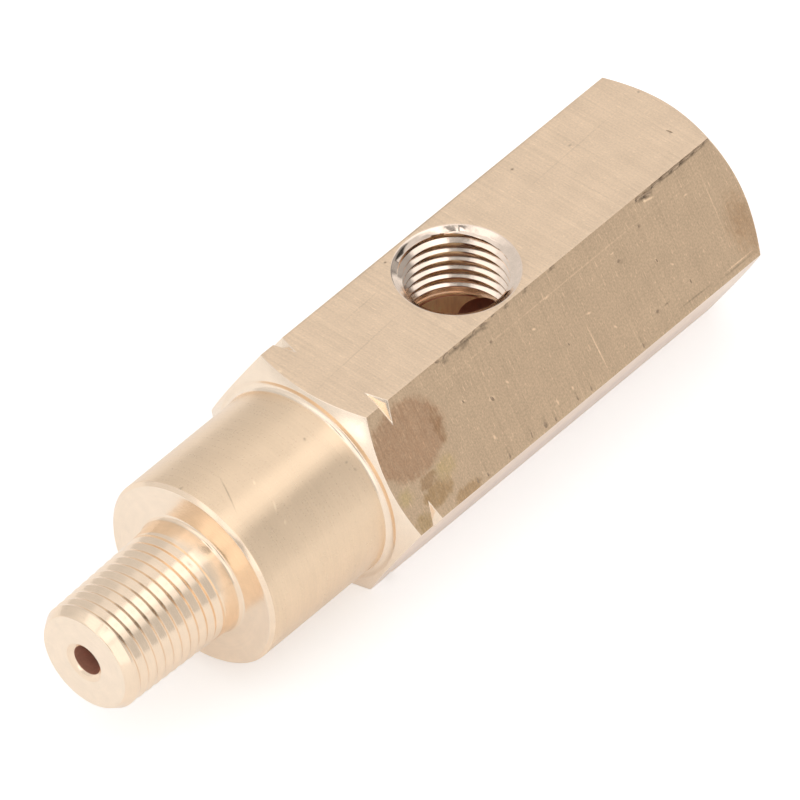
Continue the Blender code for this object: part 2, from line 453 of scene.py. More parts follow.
def port_mesh(name, inner_points, face, thread_length, shift):
    columns = port_columns()
    outlines = []
    for step in range(PORT_COLUMNS + 1):
        share = step / PORT_COLUMNS
        outlines.append(inner_points + port_outline(face, thread_length, shift, share))
    return skin_mesh(name, columns, outlines)


def give_hollow_materials(mesh, materials, limits):
    """Gives a hollow one material after another along X, with a limit between each two."""
    for material in materials:
        mesh.materials.append(material)
    for face in mesh.polygons:
        face.material_index = sum(face.center.x > limit for limit in limits)


def axial_hollow():
    """All that is drilled along the axis: tip hole, bore and end port."""
    port_bottom = HEX_LENGTH - END_PORT_DEPTH
    bore_bottom = SIDE_PORT_PLACE - AXIAL_BORE_OVERRUN
    inner = [
        (TIP - CUTTER_OVERLAP, 0.0),
        (TIP - CUTTER_OVERLAP, TIP_COUNTERSINK_RADIUS + CUTTER_OVERLAP),
        (TIP, TIP_COUNTERSINK_RADIUS),
        (TIP + TIP_COUNTERSINK_DEPTH, TIP_HOLE_RADIUS),
        (bore_bottom - drill_point_length(AXIAL_BORE_RADIUS, TIP_HOLE_RADIUS), TIP_HOLE_RADIUS),
        (bore_bottom, AXIAL_BORE_RADIUS),
        (port_bottom - drill_point_length(PORT_DRILL_RADIUS, AXIAL_BORE_RADIUS), AXIAL_BORE_RADIUS),
        (port_bottom, PORT_DRILL_RADIUS),
    ]
    mesh = port_mesh("axial_hollow", inner, HEX_LENGTH, END_THREAD_LENGTH, END_THREAD_SHIFT)
    tip_hole_start = TIP + TIP_COUNTERSINK_DEPTH
    thread_bottom = HEX_LENGTH - END_THREAD_LENGTH
    materials = [threaded_brass(), bore_brass_painted_shade(), drilled_brass_painted_light(), port_brass_painted_light()]
    give_hollow_materials(mesh, materials, (tip_hole_start, port_bottom, thread_bottom))
    return mesh


def side_hollow():
    """The side port, drilled from the top flat down to the axis."""
    bottom = APOTHEM - SIDE_PORT_DEPTH
    inner = [
        (bottom - drill_point_length(PORT_DRILL_RADIUS), 0.0),
        (bottom, PORT_DRILL_RADIUS),
    ]
    mesh = port_mesh("side_hollow", inner, APOTHEM, SIDE_THREAD_LENGTH, SIDE_THREAD_SHIFT)
    thread_bottom = APOTHEM - SIDE_THREAD_LENGTH
    give_hollow_materials(mesh, [drilled_brass_painted_light(), port_brass_painted_light()], (thread_bottom,))
    upright = Matrix.Rotation(math.radians(-90.0), 4, "Y")
    mesh.transform(Matrix.Translation((SIDE_PORT_PLACE, 0.0, 0.0)) @ upright)
    return mesh


def drilled(body, hollow_mesh):
    """Cuts a hollow out of the body, whose walls keep the hollow's materials."""
    hollow = add_object(hollow_mesh.name, hollow_mesh)
    cut = body.modifiers.new("drill", "BOOLEAN")
    cut.operation = "DIFFERENCE"
    cut.solver = "EXACT"
    cut.material_mode = "TRANSFER"
    cut.object = hollow
    graph = bpy.context.evaluated_depsgraph_get()
    mesh = bpy.data.meshes.new_from_object(body.evaluated_get(graph))
    body.modifiers.clear()
    body.data = mesh
    bpy.data.objects.remove(hollow, do_unlink=True)


# Each knock is cut by an ellipsoid. Its half height is so many times the depth of the dent, and
# it is widened so that the dent is as long and wide as its row says
KNOCK_HEIGHT = 3.0
KNOCK_WIDENING = 1.34


def knock_mesh(knocks):
    """Small blunt shapes that dent the flats. None may overlap another one."""
    builder = bmesh.new()
    for side, place, across, half_length, half_width, degrees, depth in knocks:
        out = Vector((0.0, *facing(side_angle(side))))
        across_way = Vector((0.0, *crossing(side_angle(side))))
        height = KNOCK_HEIGHT * depth
        centre = out * (APOTHEM + (height - depth) * MM) + across_way * across * MM
        centre.x = place * MM
        frame_of_flat = Matrix((Vector((1.0, 0.0, 0.0)), across_way, out)).transposed().to_4x4()
        turn = Matrix.Rotation(math.radians(degrees), 4, "Z")
        half_sizes = (
            half_length * MM * KNOCK_WIDENING,
            half_width * MM * KNOCK_WIDENING,
            height * MM,
            1.0,
        )
        stand = Matrix.Translation(centre) @ frame_of_flat @ turn @ Matrix.Diagonal(half_sizes)
        bmesh.ops.create_icosphere(builder, subdivisions=2, radius=1.0, matrix=stand)
    bmesh.ops.recalc_face_normals(builder, faces=builder.faces)
    mesh = mesh_from(builder, "knocks")
    mesh.materials.append(knocked_brass())
    return mesh


def clean_up(mesh):
    """Merges what the cuts leave doubled and marks the edges that stay sharp."""
    builder = bmesh.new()
    builder.from_mesh(mesh)
    weld(builder)
    builder.to_mesh(mesh)
    builder.free()
    mesh.shade_smooth()
    mesh.set_sharp_from_angle(angle=SHARP_ANGLE)


# Knocks as the flat, place, across, half length, half width, degrees from the axis and depth,
# in millimetres. The upper edge of the right flat is at -5.77 across and the lower one at 5.77.
# Neighbours may overlap, because every second one is cut first
KNOCKS = (
    # The torn upper edge near the far end
    (4, 35.4, -5.55, 0.35, 0.18, -10.0, 0.12),
    (4, 36.4, -5.35, 0.65, 0.24, 12.0, 0.16),
    (4, 37.6, -5.58, 0.7, 0.2, -3.0, 0.14),
    (4, 38.9, -5.63, 0.75, 0.16, 2.0, 0.13),
    (4, 40.2, -5.6, 0.8, 0.2, -2.0, 0.14),
    (4, 41.6, -5.64, 0.8, 0.15, 2.0, 0.13),
    (4, 43.0, -5.62, 0.8, 0.17, 0.0, 0.13),
    (4, 44.3, -5.66, 0.6, 0.13, 0.0, 0.1),
    # The same edge behind the groove
    (4, 9.9, -5.62, 0.3, 0.12, 20.0, 0.08),
    (4, 10.9, -5.6, 0.45, 0.14, -15.0, 0.09),
    (4, 12.2, -5.57, 0.35, 0.16, 30.0, 0.09),
    (4, 13.2, -5.65, 0.45, 0.1, 0.0, 0.08),
    (4, 14.5, -5.6, 0.3, 0.13, -30.0, 0.07),
    (4, 15.7, -5.6, 0.5, 0.14, 10.0, 0.09),
    (4, 17.0, -5.67, 0.3, 0.1, 0.0, 0.06),
    (4, 18.7, -5.68, 0.3, 0.08, 0.0, 0.06),
    (4, 21.2, -5.69, 0.25, 0.08, 0.0, 0.06),
    (4, 24.5, -5.69, 0.4, 0.08, 0.0, 0.06),
    # The lower edge
    (4, 8.6, 5.2, 0.1, 0.25, 6.0, 0.04),
    (4, 9.8, 5.35, 0.09, 0.2, -5.0, 0.04),
    (4, 12.6, 5.3, 0.1, 0.25, 2.0, 0.04),
    (4, 15.5, 5.1, 0.09, 0.3, 10.0, 0.04),
    (4, 17.2, 5.2, 0.2, 0.3, -2.0, 0.06),
    (4, 18.4, 5.4, 0.1, 0.2, 4.0, 0.04),
    (4, 21.3, 5.2, 0.09, 0.25, -6.0, 0.04),
    (4, 23.0, 5.3, 0.09, 0.25, 6.0, 0.04),
    (4, 29.7, 5.3, 0.09, 0.25, 0.0, 0.04),
    # Small hits on the right flat
    (4, 13.4, 0.2, 0.3, 0.16, 60.0, 0.05),
    (4, 15.7, -3.9, 0.14, 0.13, 0.0, 0.06),
    (4, 31.0, -2.2, 0.14, 0.13, 0.0, 0.06),
    (4, 34.4, -3.5, 0.14, 0.13, 0.0, 0.06),
    (4, 32.5, 3.7, 0.15, 0.14, 0.0, 0.06),
    (4, 10.6, -1.3, 0.2, 0.09, 60.0, 0.04),
    (4, 22.8, 0.8, 0.2, 0.09, 75.0, 0.04),
    (4, 34.6, 0.0, 0.2, 0.09, 70.0, 0.04),
    (4, 36.9, 3.5, 0.25, 0.1, 85.0, 0.05),
    # The top flat
    (3, 43.2, 2.8, 0.35, 0.09, 80.0, 0.04),
    (3, 16.0, -5.1, 0.09, 0.08, 0.0, 0.03),
    (3, 31.3, -4.3, 0.08, 0.08, 0.0, 0.03),
)


# The outside's finishes, in the order of the fitting's materials
THREADED, FACED, TURNED, FIRST_FLAT = range(4)
# The least slant along X, from 0 to 1, of a face across the axis, of what the lathe has cut on
# the hexagon and of the groove's sides
FACE_SLANT = 0.85
TURNED_SLANT = 0.2
GROOVE_SLANT = 0.1


def flat_of(normal):
    """Which of the six flats faces that way, counted from the bottom one towards +Y."""
    turned = math.degrees(math.atan2(-normal.y, normal.z))
    return round(turned / SIDE_DEGREES + SIDES / 2) % SIDES


def surface_of(place, normal):
    """The finish of the outside at a place along the axis."""
    in_groove = abs(place - GROOVE_PLACE) < GROOVE_WIDTH / 2
    before_groove = -COLLAR_FILLET < place < GROOVE_PLACE - GROOVE_WIDTH
    if place < COLLAR_FACE + COLLAR_RIM / 2:
        return FACED if normal.x < -FACE_SLANT else THREADED
    if before_groove and normal.x < -TURNED_SLANT:
        return FACED
    if in_groove and abs(normal.x) > GROOVE_SLANT:
        return FACED
    if place < -COLLAR_FILLET / 4 or abs(normal.x) > TURNED_SLANT:
        return TURNED
    return FIRST_FLAT + flat_of(normal)


def give_materials(mesh, materials):
    for material in materials:
        mesh.materials.append(material)
    for face in mesh.polygons:
        face.material_index = surface_of(face.center.x, face.normal)


# Materials


def feed(tree, socket, value):
    """Links a socket to another one, or sets it to a plain value."""
    if isinstance(value, bpy.types.NodeSocket):
        tree.links.new(value, socket)
    else:
        socket.default_value = value


def add_node(tree, kind, inputs=None, **settings):
    """Adds a shader node. An input that is given a socket is linked, and others are set."""
    made = tree.nodes.new(kind)
    for name, value in settings.items():
        setattr(made, name, value)
    for name, value in (inputs or {}).items():
        feed(tree, made.inputs[name], value)
    return made


def maths(tree, operation, *values):
    """One step of arithmetic between numbers and sockets."""
    inputs = dict(enumerate(values))
    return add_node(tree, "ShaderNodeMath", inputs, operation=operation).outputs["Value"]


def ramp(tree, value, low, high, to_low=0.0, to_high=1.0):
    """Carries a value smoothly from one number to another between two limits."""
    inputs = {
        "Value": value,
        "From Min": low,
        "From Max": high,
        "To Min": to_low,
        "To Max": to_high,
    }
    made = add_node(tree, "ShaderNodeMapRange", inputs, interpolation_type="SMOOTHSTEP")
    return made.outputs["Result"]


# Brass. Every finish is laid out in the fitting's own places: millimetres along the axis from
# the washer face, and millimetres across a flat or round a turned surface

WHITE = (1.0, 1.0, 1.0, 1.0)
# The colour sockets of Blender's Mix node
MIX_FIRST = 6
MIX_SECOND = 7
MIX_RESULT = 2


def vector_maths(tree, operation, *values):
    """One step of vector arithmetic, whose result is a vector or, for lengths, a number."""
    inputs = dict(enumerate(values))
    made = add_node(tree, "ShaderNodeVectorMath", inputs, operation=operation)
    number = operation in ("DOT_PRODUCT", "LENGTH")
    return made.outputs["Value" if number else "Vector"]


def apart(tree, vector):
    made = add_node(tree, "ShaderNodeSeparateXYZ", {"Vector": vector})
    return made.outputs["X"], made.outputs["Y"], made.outputs["Z"]


def together(tree, *values):
    inputs = dict(enumerate(values))
    return add_node(tree, "ShaderNodeCombineXYZ", inputs).outputs["Vector"]


def own_places(tree):
    """The point in millimetres from the washer face and from the axis."""
    point = tree.nodes.new("ShaderNodeTexCoord").outputs["Object"]
    to_millimetres = (1.0 / MM, 1.0 / MM, 1.0 / MM)
    shift = tuple(-ORIGIN_SHIFT / MM)
    return vector_maths(tree, "MULTIPLY_ADD", point, to_millimetres, shift)


def flat_places(tree, side):
    """Places on one flat of the hexagon, along the axis and across the flat."""
    point = own_places(tree)
    along = apart(tree, point)[0]
    across_way = (0.0, *crossing(side_angle(side)))
    return together(tree, along, vector_maths(tree, "DOT_PRODUCT", point, across_way))


def turned_places(tree):
    """Places on the collar, along the axis and round it from straight up towards -Y."""
    along, y, z = apart(tree, own_places(tree))
    angle = maths(tree, "ARCTAN2", maths(tree, "MULTIPLY", y, -1.0), z)
    return together(tree, along, maths(tree, "MULTIPLY", angle, COLLAR_RADIUS / MM))


def ring_places(tree):
    """Places for tool marks that run round the axis, on cylinders, cones and faces alike."""
    point = own_places(tree)
    along, y, z = apart(tree, point)
    radius = vector_maths(tree, "LENGTH", vector_maths(tree, "MULTIPLY", point, (0.0, 1.0, 1.0)))
    return together(tree, along, radius, maths(tree, "ADD", y, z))


def grain(tree, places, finer, detail):
    """Noise about zero that has so many grains to the millimetre in each direction."""
    scaled = vector_maths(tree, "MULTIPLY", places, finer)
    inputs = {"Vector": scaled, "Scale": 1.0, "Detail": detail}
    noise = add_node(tree, "ShaderNodeTexNoise", inputs)
    return maths(tree, "SUBTRACT", noise.outputs["Fac"], 0.5)


def ragged(tree, places, finer, reach):
    """Places pushed about by noise, so that what is laid on them gets an uneven rim."""
    scaled = vector_maths(tree, "MULTIPLY", places, (finer, finer, finer))
    noise = add_node(tree, "ShaderNodeTexNoise", {"Vector": scaled, "Scale": 1.0, "Detail": 4.0})
    span = (reach, reach, 0.0)
    start = (-reach / 2, -reach / 2, 0.0)
    push = vector_maths(tree, "MULTIPLY_ADD", noise.outputs["Color"], span, start)
    return vector_maths(tree, "ADD", places, push)


def patch(tree, places, centre, half_size, degrees):
    """An ellipse that is 1 in its middle and falls evenly to 0 at its rim."""
    inputs = {
        "Vector": places,
        "Location": (centre[0], centre[1], 0.0),
        "Rotation": (0.0, 0.0, math.radians(degrees)),
        "Scale": (half_size[0], half_size[1], 1.0),
    }
    own = add_node(tree, "ShaderNodeMapping", inputs, vector_type="TEXTURE").outputs["Vector"]
    made = add_node(tree, "ShaderNodeTexGradient", {"Vector": own}, gradient_type="SPHERICAL")
    return made.outputs["Fac"]


def marked(tree, places, tone, marks):
    """Lightens or darkens a tone by small marks, from a table of their places and sizes."""
    for place, across, half_length, half_width, degrees, amount in marks:
        spot = patch(tree, places, (place, across), (half_length, half_width), degrees)
        tone = maths(tree, "MULTIPLY_ADD", spot, amount, tone)
    return tone


# How many waves to the millimetre the rim of a tint patch has, how many millimetres they move it in
# all, and how far inside the rim the mottling is at its full strength, as a share of the patch. The
# patches are stains, and on the lower flat a painted reflection
TINT_PATCH_WAVES = 0.9
TINT_PATCH_REACH = 1.1
TINT_PATCH_RIM = 0.3
# How strong a tint patch is on the whole, and how much its mottling varies that
TINT_PATCH_STRENGTH = 0.85
TINT_PATCH_VARIATION = 1.5


def tinted_by_patches(tree, places, colour, stains_and_reflections):
    """Multiplies a colour by that of each tint patch, from a table of their places and sizes:
    stains, and on the lower flat a painted reflection.
    """
    uneven = ragged(tree, places, TINT_PATCH_WAVES, TINT_PATCH_REACH)
    fine = grain(tree, places, (5.0, 1.2, 1.0), 4.0)
    coarse = grain(tree, places, (1.2, 1.2, 1.0), 3.0)
    mottling = sum_of(tree, 0.0, (fine, 0.55), (coarse, 0.35))
    strength = maths(tree, "MULTIPLY_ADD", mottling, TINT_PATCH_VARIATION, TINT_PATCH_STRENGTH)
    for place, across, half_length, half_width, softness, tint in stains_and_reflections:
        spot = patch(tree, uneven, (place, across), (half_length, half_width), 0.0)
        well_inside = ramp(tree, spot, 0.0, TINT_PATCH_RIM)
        mottled = maths(tree, "MULTIPLY_ADD", mottling, well_inside, spot)
        inputs = {"Factor": maths(tree, "MULTIPLY", ramp(tree, mottled, 0.0, softness), strength)}
        mix = add_node(tree, "ShaderNodeMix", inputs, data_type="RGBA")
        mix.inputs[MIX_FIRST].default_value = WHITE
        mix.inputs[MIX_SECOND].default_value = tint + (1.0,)
        colour = vector_maths(tree, "MULTIPLY", colour, mix.outputs[MIX_RESULT])
    return colour


def sum_of(tree, start, *parts):
    """A number plus grains, each multiplied by its own amount."""
    total = start
    for value, amount in parts:
        total = maths(tree, "MULTIPLY_ADD", value, amount, total)
    return total


def new_material(name, metallic=1.0):
    material = bpy.data.materials.new(name)
    material.use_nodes = True
    tree = material.node_tree
    shader = tree.nodes["Principled BSDF"]
    shader.inputs["Metallic"].default_value = metallic
    return material, tree, shader


def give_looks(tree, shader, colour, tone, roughness, height=None):
    """Links colour times tone, roughness and, in millimetres, the height of fine marks."""
    made = add_node(tree, "ShaderNodeVectorMath", {0: colour, "Scale": tone}, operation="SCALE")
    tree.links.new(made.outputs["Vector"], shader.inputs["Base Color"])
    feed(tree, shader.inputs["Roughness"], roughness)
    if height is not None:
        bump = add_node(tree, "ShaderNodeBump", {"Height": height, "Distance": MM, "Strength": 1.0})
        tree.links.new(bump.outputs["Normal"], shader.inputs["Normal"])


# The noise above which a short bright stroke starts, and where it is at its brightest
STROKE_LIMITS = (0.11, 0.22)


def drawn_brass(side, colour, wear, marks=(), stains_and_reflections=()):
    """A flat of the drawn bar, with fine lines across it, specks, strokes, marks and stains. Its
    colour paints light and shade, some of its marks are painted highlights, and the lower flat's
    tint is a painted reflection.
    """
    material, tree, shader = new_material(f"brass_flat_{side}")
    places = flat_places(tree, side)
    lines = grain(tree, places, (4.2, 0.12, 1.0), 3.0)
    specks = grain(tree, places, (7.0, 5.0, 1.0), 4.0)
    strokes = ramp(tree, grain(tree, places, (6.0, 1.1, 1.0), 2.0), *STROKE_LIMITS)
    clouds = grain(tree, places, (0.3, 0.45, 1.0), 3.0)
    parts = ((lines, 0.28), (specks, 0.68 * wear), (strokes, 0.24 * wear), (clouds, 0.2))
    tone = marked(tree, places, sum_of(tree, 1.0, *parts), marks)
    colour = tinted_by_patches(tree, places, colour, stains_and_reflections) if stains_and_reflections else colour
    roughness = sum_of(tree, 0.34, (specks, 0.15), (clouds, 0.1))
    height = sum_of(tree, 0.0, (lines, 0.004), (specks, 0.006 * wear))
    give_looks(tree, shader, colour, tone, roughness, height)
    return material


# Marks as place, across, half length, half width, degrees from the axis, lighter or darker.
# Stains, and the lower flat's painted reflection, as place, across, half length, half width,
# softness of the rim, tint
RIGHT_FLAT_MARKS = (
    # Darker marks round the knocks along the lower edge
    (8.6, 4.9, 0.65, 0.16, 84.0, -0.17),
    (9.8, 4.8, 0.7, 0.14, 95.0, -0.15),
    (12.6, 4.9, 0.6, 0.16, 88.0, -0.17),
    (15.5, 4.7, 0.8, 0.15, 80.0, -0.15),
    (17.2, 4.9, 0.7, 0.35, 92.0, -0.2),
    (18.4, 5.0, 0.5, 0.15, 86.0, -0.17),
    (21.3, 4.8, 0.6, 0.16, 96.0, -0.15),
    (23.0, 4.9, 0.6, 0.14, 84.0, -0.15),
    (29.7, 4.8, 0.6, 0.16, 90.0, -0.15),
    # Bright nicks, painted highlights of small dents, five of them round real knocks
    (10.6, -1.3, 0.35, 0.14, 20.0, 0.68),
    (13.4, 0.2, 0.5, 0.28, 10.0, 0.51),
    (15.5, -0.1, 0.3, 0.14, 60.0, 0.59),
    (12.0, 3.1, 0.35, 0.15, 80.0, 0.59),
    (20.2, -2.3, 0.3, 0.15, 30.0, 0.59),
    (22.7, -3.8, 0.3, 0.14, 0.0, 0.51),
    (22.8, 0.8, 0.3, 0.14, 75.0, 0.59),
    (26.0, -0.2, 0.35, 0.14, 15.0, 0.59),
    (27.9, 2.3, 0.3, 0.14, 50.0, 0.51),
    (30.7, -3.1, 0.3, 0.12, 0.0, 0.51),
    (34.6, 0.0, 0.35, 0.15, 70.0, 0.59),
    (35.9, 1.2, 0.3, 0.12, 40.0, 0.51),
    (36.9, 3.5, 0.35, 0.15, 85.0, 0.59),
    (40.1, -3.0, 0.3, 0.13, 10.0, 0.51),
    (19.3, 4.3, 0.35, 0.15, 85.0, 0.68),
    (21.3, 4.2, 0.3, 0.15, 80.0, 0.59),
    # Dark dots and a gouge
    (15.7, -3.9, 0.22, 0.2, 0.0, -0.55),
    (31.0, -2.2, 0.22, 0.2, 0.0, -0.5),
    (34.4, -3.5, 0.22, 0.2, 0.0, -0.5),
    (32.5, 3.7, 0.25, 0.22, 0.0, -0.55),
    (33.7, 3.7, 0.6, 0.12, 0.0, -0.35),
    # A bright scratch across, three long ones near the lower edge, and faint lines along the
    # bar and across its far end
    (25.3, 2.6, 2.9, 0.1, 88.0, 0.55),
    (36.9, 4.9, 2.5, 0.12, 1.5, -0.35),
    (42.3, 4.95, 2.2, 0.1, 0.0, 0.5),
    (41.9, 5.2, 2.6, 0.12, 0.0, -0.3),
    (24.2, -3.87, 22.0, 0.1, 0.0, 0.18),
    (42.3, -1.0, 4.8, 0.1, 92.0, 0.25),
    # The rough upper edge, darker along it, with two painted highlights of a burr near 36 mm
    (40.2, -5.6, 5.2, 0.3, 0.3, -0.95),
    (36.2, -5.3, 1.2, 0.4, 5.0, -0.8),
    (36.5, -4.85, 0.7, 0.14, 12.0, 0.7),
    (36.0, -5.0, 0.25, 0.2, 60.0, 0.8),
    (13.4, -5.45, 3.9, 0.22, 0.0, -0.55),
    (10.6, -5.2, 0.6, 0.25, 10.0, -0.4),
    (13.0, -5.15, 0.8, 0.25, -8.0, -0.45),
    (15.6, -5.25, 0.7, 0.2, 12.0, -0.4),
    (18.6, -5.5, 0.5, 0.16, 0.0, -0.4),
    (21.0, -5.5, 0.4, 0.16, 0.0, -0.4),
    (24.4, -5.55, 0.6, 0.14, 0.0, -0.4),
)
RIGHT_FLAT_STAINS = (
    (3.9, -1.8, 4.6, 3.7, 0.22, (0.78, 0.67, 0.62)),
    (7.3, -1.1, 0.7, 2.2, 0.5, (0.84, 0.80, 0.74)),
    (4.0, 2.2, 1.3, 0.7, 0.4, (0.72, 0.64, 0.55)),
    (4.4, 3.7, 2.2, 1.3, 0.5, (0.76, 0.68, 0.54)),
    (7.3, 5.5, 2.0, 1.0, 0.5, (0.80, 0.72, 0.60)),
    (6.2, 2.3, 1.8, 1.4, 0.8, (0.98, 0.98, 0.80)),
    (1.2, 2.3, 1.4, 1.2, 0.8, (0.95, 0.97, 0.80)),
    (2.0, 5.2, 1.3, 1.2, 0.6, (0.82, 0.78, 0.64)),
    (44.4, 2.4, 2.8, 4.4, 0.9, (0.83, 0.75, 0.68)),
)
TOP_FLAT_MARKS = (
    (6.8, 0.1, 7.0, 0.1, -3.3, -0.12),
    (36.3, -2.0, 8.7, 0.1, -1.9, -0.12),
    (10.9, -3.2, 2.9, 0.1, -2.4, -0.14),
    (43.2, 2.8, 0.5, 0.14, 80.0, -0.35),
    (31.3, -4.3, 0.22, 0.18, 0.0, -0.45),
    (16.0, -5.1, 0.22, 0.18, 0.0, -0.45),
    (36.6, -2.5, 0.25, 0.18, 0.0, -0.35),
    (45.2, -2.3, 0.2, 0.18, 0.0, -0.4),
    (0.6, -3.3, 0.4, 0.3, 0.0, 0.2),
    (22.0, -5.68, 23.0, 0.07, 0.0, -0.35),
)
# A bluish tint over the whole lower flat, a painted reflection of its pale surroundings, laid out
# like a stain
LOWER_FLAT_PAINTED_REFLECTION = (
    (23.0, 3.0, 40.0, 5.0, 0.8, (0.88, 0.91, 0.97)),
)
# Each flat's colour, how worn it is, its marks and its stains, from the bottom one towards +Y.
# The colours also paint light and shade: they grow darker from the top flat towards the bottom
# one, and the lower flat is paler, which paints the floor's reflection in it.
FLAT_LOOKS_WITH_PAINTED_SHADE = (
    ((0.74, 0.56, 0.38), 0.8),
    ((0.76, 0.58, 0.40), 0.8),
    ((0.80, 0.61, 0.43), 0.7),
    ((0.84, 0.64, 0.46), 0.5, TOP_FLAT_MARKS),
    ((0.62, 0.45, 0.30), 1.0, RIGHT_FLAT_MARKS, RIGHT_FLAT_STAINS),
    ((0.95, 0.78, 0.65), 0.5, (), LOWER_FLAT_PAINTED_REFLECTION),
)

# Marks on the collar, where across counts round it from straight up towards -Y
TURNED_MARKS = (
    (-11.9, 2.0, 2.3, 0.1, -64.0, -0.4),
    (-9.45, 2.75, 0.3, 0.16, -60.0, 0.25),
    (-9.6, 5.4, 0.7, 0.14, -63.0, 0.25),
    (-9.7, 6.9, 0.3, 0.16, -60.0, 0.25),
    (-3.0, 2.6, 0.25, 0.18, -40.0, -0.35),
    (-1.5, 6.3, 0.2, 0.16, 0.0, -0.3),
    (-1.2, 7.2, 0.2, 0.16, 0.0, -0.3),
    (-14.1, -1.25, 0.4, 0.2, 0.0, -0.3),
)


def turned_brass():
    """Satin brass from a fine cut, whose marks run round the axis."""
    material, tree, shader = new_material("brass_turned")
    rings = grain(tree, ring_places(tree), (6.0, 6.0, 0.25), 3.0)
    specks = grain(tree, own_places(tree), (6.0, 6.0, 6.0), 3.0)
    clouds = grain(tree, own_places(tree), (0.5, 0.3, 0.3), 2.0)
    start = sum_of(tree, 1.0, (rings, 0.12), (specks, 0.12), (clouds, 0.1))
    tone = marked(tree, turned_places(tree), start, TURNED_MARKS)
    roughness = sum_of(tree, 0.3, (specks, 0.12), (rings, 0.1))
    height = sum_of(tree, 0.0, (rings, 0.0015), (specks, 0.0008))
    give_looks(tree, shader, (0.87, 0.665, 0.47), tone, roughness, height)
    return material


@functools.cache
def knocked_brass():
    """The dents, in a darker brass."""
    material, tree, shader = new_material("brass_knocked")
    specks = grain(tree, own_places(tree), (9.0, 9.0, 9.0), 3.0)
    tone = sum_of(tree, 1.0, (specks, 0.8))
    give_looks(tree, shader, (0.42, 0.305, 0.21), tone, 0.3)
    return material


def bright_brass(name, colour, roughness, rings_height):
    """Cleanly cut brass, with faint rings from the tool."""
    material, tree, shader = new_material(name)
    rings = grain(tree, ring_places(tree), (5.0, 5.0, 0.3), 3.0)
    clouds = grain(tree, own_places(tree), (0.9, 0.9, 0.9), 3.0)
    tone = sum_of(tree, 1.0, (rings, 0.08), (clouds, 0.14))
    rough = sum_of(tree, roughness, (clouds, 0.12), (rings, 0.06))
    height = sum_of(tree, 0.0, (rings, rings_height), (clouds, 0.004))
    give_looks(tree, shader, colour, tone, rough, height)
    return material


@functools.cache
def threaded_brass():
    """The male thread, its neck and the edge of the hole in its tip."""
    return bright_brass("brass_threaded", (0.93, 0.74, 0.56), 0.19, 0.0006)


def faced_brass():
    """The faces at the male end, the shoulder and the nicks in the corners."""
    return bright_brass("brass_faced", (0.95, 0.79, 0.63), 0.2, 0.001)


@functools.cache
def port_brass_painted_light():
    """The tapped walls of the ports and their mouths, in a brass made pale so that their highlights
    read white, which is painted light.
    """
    material, tree, shader = new_material("brass_port_painted_light")
    clouds = grain(tree, own_places(tree), (1.2, 1.2, 1.2), 3.0)
    specks = grain(tree, own_places(tree), (7.0, 7.0, 7.0), 2.0)
    tone = sum_of(tree, 1.0, (clouds, 0.2), (specks, 0.1))
    roughness = sum_of(tree, 0.13, (clouds, 0.12))
    height = sum_of(tree, 0.0, (clouds, 0.004), (specks, 0.001))
    give_looks(tree, shader, (0.94, 0.78, 0.65), tone, roughness, height)
    return material


@functools.cache
def drilled_brass_painted_light():
    """The plain walls below the threads, streaked by the drill, in a golden brass made as pale as
    it goes, which paints light into the deep hole.
    """
    material, tree, shader = new_material("brass_drilled_painted_light", 0.8)
    point = own_places(tree)
    streaks = grain(tree, point, (5.0, 5.0, 0.8), 3.0)
    clouds = grain(tree, point, (1.0, 1.0, 1.0), 3.0)
    tone = sum_of(tree, 1.0, (streaks, 0.4), (clouds, 0.3))
    roughness = sum_of(tree, 0.5, (clouds, 0.2))
    height = sum_of(tree, 0.0, (streaks, 0.006))
    give_looks(tree, shader, (1.0, 0.80, 0.53), tone, roughness, height)
    return material


def bore_brass_painted_shade():
    """The narrow bores, whose dull walls the light hardly reaches, in a dark red-brown brass that
    paints their shade.
    """
    material, tree, shader = new_material("brass_bore_painted_shade", 0.5)
    clouds = grain(tree, own_places(tree), (1.5, 1.5, 1.5), 3.0)
    specks = grain(tree, own_places(tree), (8.0, 8.0, 8.0), 2.0)
    tone = sum_of(tree, 1.0, (clouds, 0.4), (specks, 0.3))
    give_looks(tree, shader, (0.6, 0.31, 0.22), tone, 0.5)
    return material


# Stage, lights and camera

# The point that the camera aims at, how far away it is, its angles and its lens in millimetres
CAMERA_TARGET = Vector((2.954, 0.277, 10.0)) * MM
CAMERA_DISTANCE = 1.3629
CAMERA_AZIMUTH = math.radians(-48.194)
CAMERA_ELEVATION = math.radians(44.385)
CAMERA_ROLL = math.radians(-1.321)
CAMERA_LENS = 737.2
SENSOR_WIDTH = 36.0


def camera():
    """The photo's camera, as it was fitted to the photo."""
    back = Vector(
        (
            math.sin(CAMERA_AZIMUTH) * math.cos(CAMERA_ELEVATION),
            -math.cos(CAMERA_AZIMUTH) * math.cos(CAMERA_ELEVATION),
            math.sin(CAMERA_ELEVATION),
        )
    )
    data = bpy.data.cameras.new("camera")
    data.lens = CAMERA_LENS
    data.sensor_width = SENSOR_WIDTH
    holder = add_object("camera", data)
    turn = (-back).to_track_quat("-Z", "Y").to_matrix().to_4x4()
    roll = Matrix.Rotation(CAMERA_ROLL, 4, "Z")
    holder.matrix_world = Matrix.Translation(CAMERA_TARGET + back * CAMERA_DISTANCE) @ turn @ roll
    bpy.context.scene.camera = holder


# The lamp hangs over the fitting, a little towards -Y, with its long side along X
LAMP_DIRECTION = (0.0, -0.29, 0.956)
LAMP_DISTANCE = 1.2
LAMP_SIZE = (1.8, 0.55)
LAMP_POWER = 0.7


